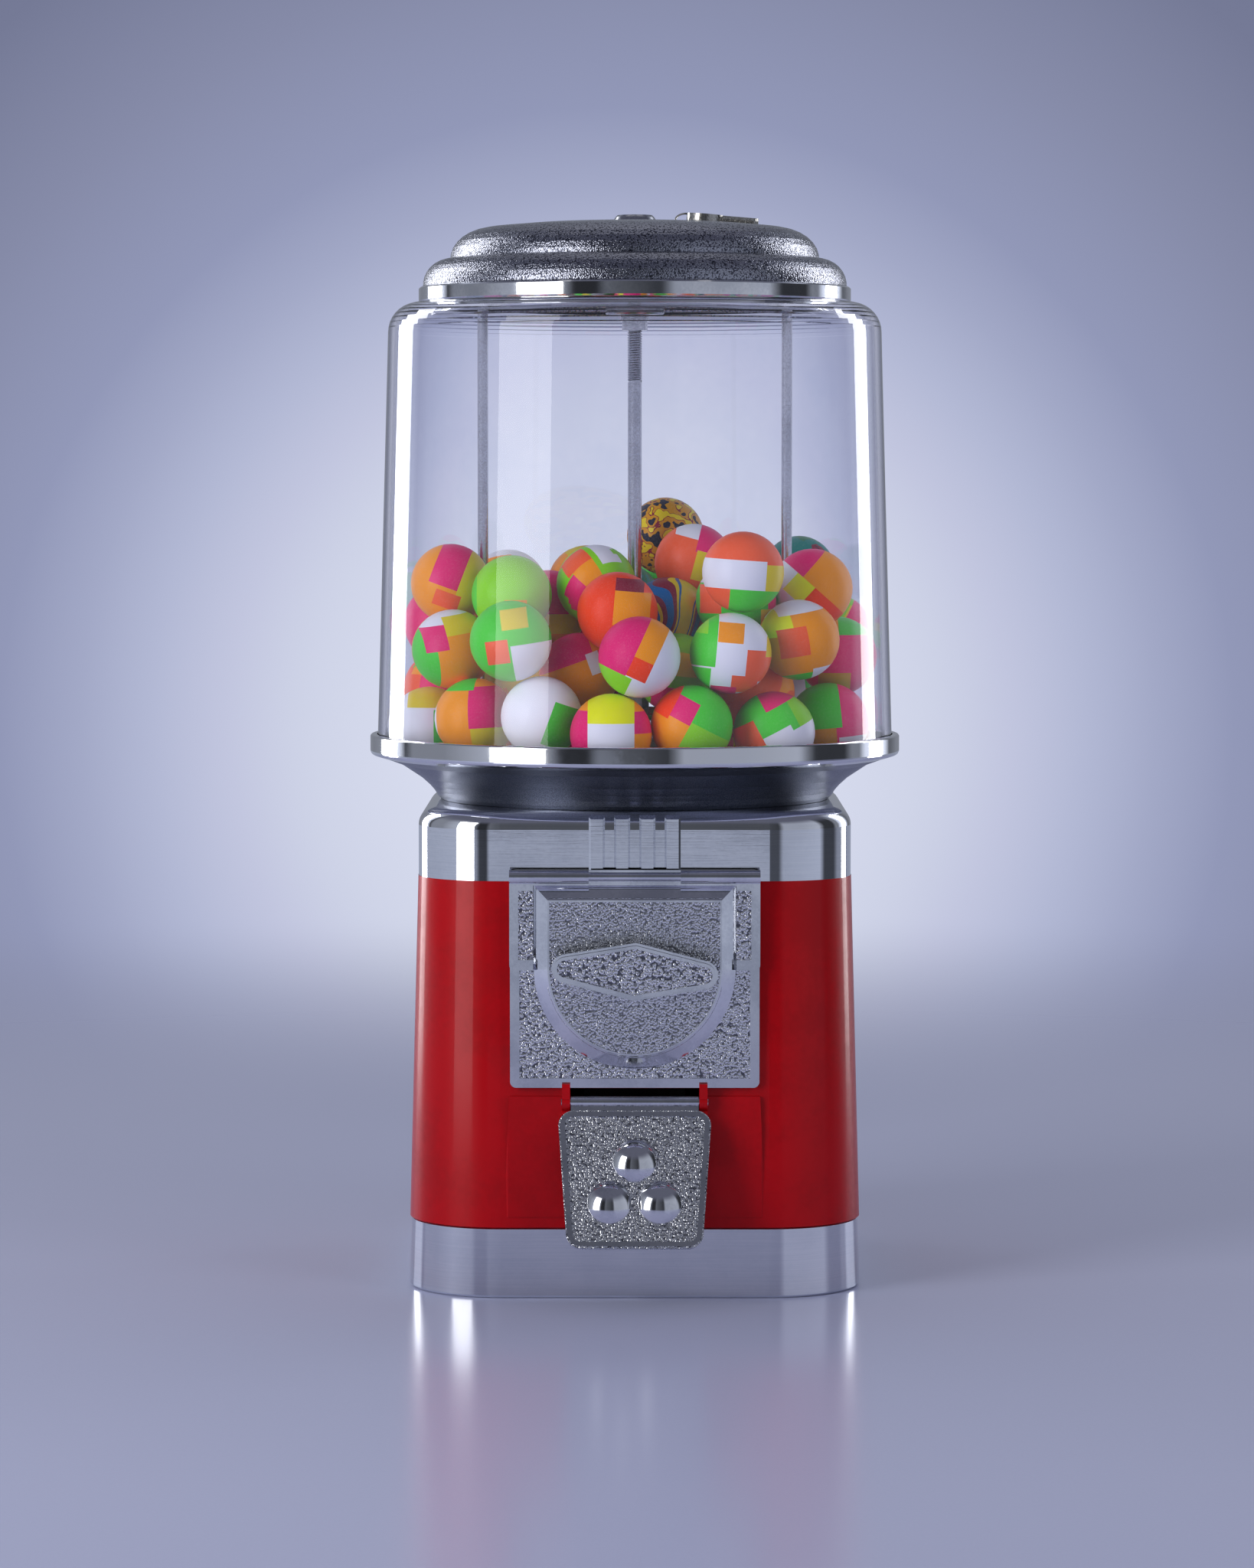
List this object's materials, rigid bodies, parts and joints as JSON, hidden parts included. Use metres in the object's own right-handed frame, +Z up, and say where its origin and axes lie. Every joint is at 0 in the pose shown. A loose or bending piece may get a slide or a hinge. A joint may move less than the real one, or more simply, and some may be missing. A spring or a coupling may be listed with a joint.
{
  "type": "bulk vending machine",
  "caption": "Bulk vending machine for bouncy balls: tapered red cabinet with chrome bands, turning coin handle, hinged chute door, geared product wheel and clear globe under a chrome lid.",
  "frame": {"origin": "on the centre rod's axis at the base plate's underside, on the floor", "axes": "+Z up along the centre rod; the coin handle and chute door face -Y; +X to the right seen from the front"},
  "size_m": [0.2162, 0.226, 0.4347],
  "materials": {
    "chrome": "polished",
    "cast_chrome": "cast pebble texture, plated",
    "satin_metal": "satin",
    "red_enamel": "high gloss",
    "steel": "bright",
    "brass": "plain",
    "black_plastic": "moulded",
    "ivory_plastic": "moulded",
    "clear": "clear polycarbonate",
    "ball_rubber": "glossy, neon colours",
    "pocket_ball_rubber": "glossy, neon colours"
  },
  "bodies": {
    "cabinet": {"base_ring": "chrome", "base_plate": "steel", "base_nut": "steel", "body_shell": "red_enamel", "top_ring": "chrome", "mech_plate": "cast_chrome", "coin_hood": "cast_chrome", "dial_cover": "cast_chrome", "mech_housing": "satin_metal", "shaft_bush": "brass", "pawl_pin": "steel", "pawl_spring": "steel", "transfer_axle": "steel", "mech_screws": "steel", "chute": "black_plastic", "door_pin": "steel", "coin_box": "black_plastic", "hopper": "satin_metal", "ball_guard": "steel", "guard_nut": "steel", "balls": "ball_rubber", "globe": "clear", "centre_rod": "steel", "tie_rods": "steel", "tie_nuts": "steel", "rod_collar": "steel"},
    "handle": {"handle": "cast_chrome", "handle_shaft": "steel", "coin_carrier": "steel", "ratchet_wheel": "steel", "drive_gear": "brass"},
    "transfer": {"transfer_gear": "brass"},
    "wheel": {"product_wheel": "ivory_plastic", "pocket_balls": "pocket_ball_rubber"},
    "door": {"chute_door": "cast_chrome"},
    "pawl": {"pawl": "steel"},
    "lid": {"lid": "cast_chrome", "lock_housing": "steel", "keys": "brass", "key_ring": "steel"},
    "plug": {"lock_plug": "brass"}
  },
  "joints": [
    {"name": "handle_turn", "type": "hinge", "parent": "cabinet", "child": "handle", "pos_m": [0, -0.09, 0.13043], "axis": [0, 1, 0], "continuous": true},
    {"name": "transfer_turn", "type": "hinge", "parent": "cabinet", "child": "transfer", "pos_m": [0, -0.0678, 0.16656], "axis": [0, 1, 0], "continuous": true},
    {"name": "wheel_turn", "type": "hinge", "parent": "cabinet", "child": "wheel", "pos_m": [0, 0, 0.2], "axis": [0, 0, 1], "continuous": true},
    {"name": "door_swing", "type": "hinge", "parent": "cabinet", "child": "door", "pos_m": [0, -0.092, 0.0778], "axis": [-1, 0, 0], "range_deg": [0, 60]},
    {"name": "pawl_lift", "type": "hinge", "parent": "cabinet", "child": "pawl", "pos_m": [0.03, -0.0757, 0.14743], "axis": [0, -1, 0], "range_deg": [0, 8]},
    {"name": "lid_lift", "type": "slide", "parent": "cabinet", "child": "lid", "axis": [0, 0, 1], "range_m": [0, 0.08]},
    {"name": "lock_turn", "type": "hinge", "parent": "lid", "child": "plug", "pos_m": [0, 0, 0.42], "axis": [0, 0, 1], "range_deg": [0, 90]}
  ],
  "couplings": [
    {"joint": "transfer_turn", "follows": "handle_turn", "ratio": -0.45455},
    {"joint": "wheel_turn", "follows": "handle_turn", "ratio": -0.16667}
  ]
}
